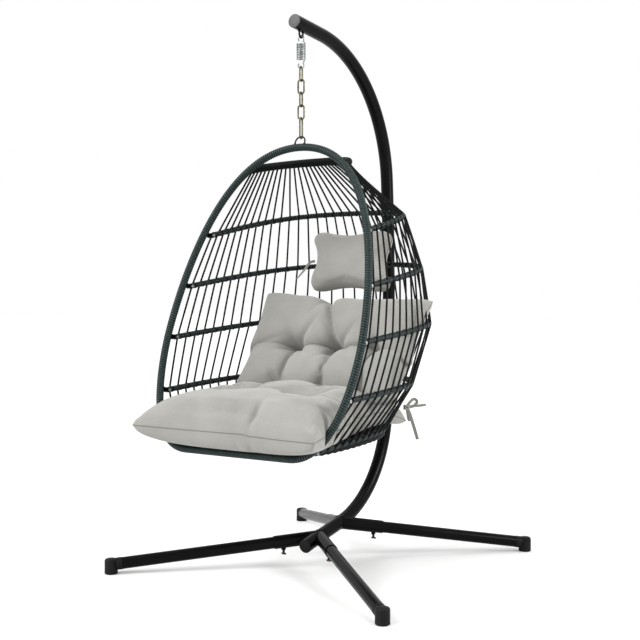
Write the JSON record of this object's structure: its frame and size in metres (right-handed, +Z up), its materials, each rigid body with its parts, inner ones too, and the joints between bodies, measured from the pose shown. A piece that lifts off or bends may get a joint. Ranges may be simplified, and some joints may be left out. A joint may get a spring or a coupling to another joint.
{
  "type": "hanging egg chair",
  "caption": "Free-standing hanging egg chair: a curved post on splayed legs, spring and chain, and a folding corded basket with a tufted cushion.",
  "frame": {"origin": "on the floor at the centre of the bounding box, under the basket", "axes": "+Z up, -Y is the front, towards which the basket's mouth faces, +X to the right seen from the front"},
  "size_m": [1.1488, 1.2499, 1.9481],
  "materials": {
    "post_steel": "satin black powder coat, fine texture",
    "leg_steel": "satin black powder coat, fine texture",
    "grey_plastic": "grainy grey moulded plug",
    "black_plastic": "moulded black plastic, slight grain",
    "black_fastener": "black oxide",
    "yellow_zinc": "yellow zinc plate on the tips, black body",
    "zinc": "bright zinc plate",
    "chain_steel": "dull galvanised, darkened",
    "wicker_wrap": "flat plastic strip wound edge to edge, dark grey-green",
    "cord_wrap": "black plastic cord wound over steel",
    "cord": "black round plastic cord, faint twist",
    "cushion_fabric": "light grey plain-weave polyester, soft crumpled"
  },
  "bodies": {
    "stand": {"upper_post": "post_steel", "lower_post": "post_steel", "post_top_cap": "grey_plastic", "post_base_cap": "black_plastic", "post_bolt_1": "black_fastener", "post_bolt_2": "black_fastener", "leg_front_left": "leg_steel", "foot_front_left": "black_plastic", "thumb_bolt_front_left": "yellow_zinc", "leg_front_right": "leg_steel", "foot_front_right": "black_plastic", "thumb_bolt_front_right": "yellow_zinc", "leg_rear_left": "leg_steel", "foot_rear_left": "black_plastic", "thumb_bolt_rear_left": "yellow_zinc", "leg_rear_right": "leg_steel", "foot_rear_right": "black_plastic", "thumb_bolt_rear_right": "yellow_zinc"},
    "spring": {"suspension_spring": "zinc"},
    "link_1": {"chain_link_1": "chain_steel"},
    "link_2": {"chain_link_2": "chain_steel"},
    "link_3": {"chain_link_3": "chain_steel"},
    "link_4": {"chain_link_4": "chain_steel"},
    "link_5": {"chain_link_5": "chain_steel"},
    "basket": {"hoop": "wicker_wrap", "top_bar": "cord_wrap", "pivot_bolt_u_bar_1_left": "zinc", "pivot_bolt_u_bar_1_right": "zinc", "pivot_bolt_u_bar_2_left": "zinc", "pivot_bolt_u_bar_2_right": "zinc", "pivot_bolt_u_bar_3_left": "zinc", "pivot_bolt_u_bar_3_right": "zinc", "pivot_bolt_u_bar_4_left": "zinc", "pivot_bolt_u_bar_4_right": "zinc", "pivot_bolt_seat_frame_left": "zinc", "pivot_bolt_seat_frame_right": "zinc", "cord_net_1_left": "cord", "cord_net_1_right": "cord", "cord_net_2_left": "cord", "cord_net_2_right": "cord", "cord_net_3_left": "cord", "cord_net_3_right": "cord", "cord_net_4_left": "cord", "cord_net_4_right": "cord", "cord_net_5_left": "cord", "cord_net_5_right": "cord", "seat_cushion": "cushion_fabric", "lower_back_cushion": "cushion_fabric", "upper_back_cushion": "cushion_fabric", "head_pillow": "cushion_fabric"},
    "bar_1": {"u_bar_1": "cord_wrap"},
    "bar_2": {"u_bar_2": "cord_wrap"},
    "bar_3": {"u_bar_3": "cord_wrap"},
    "bar_4": {"u_bar_4": "cord_wrap"},
    "seat": {"seat_frame": "cord_wrap", "seat_net": "cord"}
  },
  "joints": [
    {"name": "swing", "type": "hinge", "parent": "stand", "child": "spring", "pos_m": [0, -0.154, 1.877], "axis": [1, 0, 0], "range_deg": [-12, 4]},
    {"name": "bounce", "type": "slide", "parent": "spring", "child": "link_1", "axis": [0, 0, 1], "range_m": [-0.04, 0.005], "stiffness_N_per_m": 6000, "springref_m": 0.0392, "deforming": ["suspension_spring"]},
    {"name": "chain_twist_upper", "type": "hinge", "parent": "link_1", "child": "link_2", "pos_m": [0, -0.154, 1.7258], "axis": [0, 0, 1], "range_deg": [-22, 22]},
    {"name": "sway", "type": "hinge", "parent": "link_2", "child": "link_3", "pos_m": [0, -0.154, 1.6816], "axis": [-0.2079, 0.9781, 0], "range_deg": [-8, 8]},
    {"name": "chain_twist_middle", "type": "hinge", "parent": "link_3", "child": "link_4", "pos_m": [0, -0.154, 1.6374], "axis": [0, 0, 1], "range_deg": [-22, 22]},
    {"name": "pitch", "type": "hinge", "parent": "link_4", "child": "link_5", "pos_m": [0, -0.154, 1.5932], "axis": [-0.9781, -0.2079, 0], "range_deg": [-3, 3]},
    {"name": "swivel", "type": "hinge", "parent": "link_5", "child": "basket", "pos_m": [0, -0.154, 1.5269], "axis": [0, 0, 1], "range_deg": [-18, 30]},
    {"name": "fold", "type": "hinge", "parent": "basket", "child": "seat", "pos_m": [0, -0.49659, 0.48808], "axis": [1, 0, 0], "range_deg": [0, 55.5], "deforming": ["cord_net_1_left", "cord_net_1_right", "cord_net_2_left", "cord_net_2_right", "cord_net_3_left", "cord_net_3_right", "cord_net_4_left", "cord_net_4_right", "cord_net_5_left", "cord_net_5_right", "seat_cushion", "lower_back_cushion", "upper_back_cushion", "head_pillow"]},
    {"name": "fold_bar_1", "type": "hinge", "parent": "basket", "child": "bar_1", "pos_m": [0, -0.24913, 1.19078], "axis": [1, 0, 0], "range_deg": [0, 47.5]},
    {"name": "fold_bar_2", "type": "hinge", "parent": "basket", "child": "bar_2", "pos_m": [0, -0.3129, 1.00968], "axis": [1, 0, 0], "range_deg": [0, 51.3]},
    {"name": "fold_bar_3", "type": "hinge", "parent": "basket", "child": "bar_3", "pos_m": [0, -0.37601, 0.83047], "axis": [1, 0, 0], "range_deg": [0, 54.3]},
    {"name": "fold_bar_4", "type": "hinge", "parent": "basket", "child": "bar_4", "pos_m": [0, -0.43979, 0.64937], "axis": [1, 0, 0], "range_deg": [0, 56.2]}
  ],
  "couplings": [
    {"joint": "fold_bar_1", "follows": "fold", "ratio": 0.8468},
    {"joint": "fold_bar_2", "follows": "fold", "ratio": 0.9153},
    {"joint": "fold_bar_3", "follows": "fold", "ratio": 0.9694},
    {"joint": "fold_bar_4", "follows": "fold", "ratio": 1.0036}
  ]
}
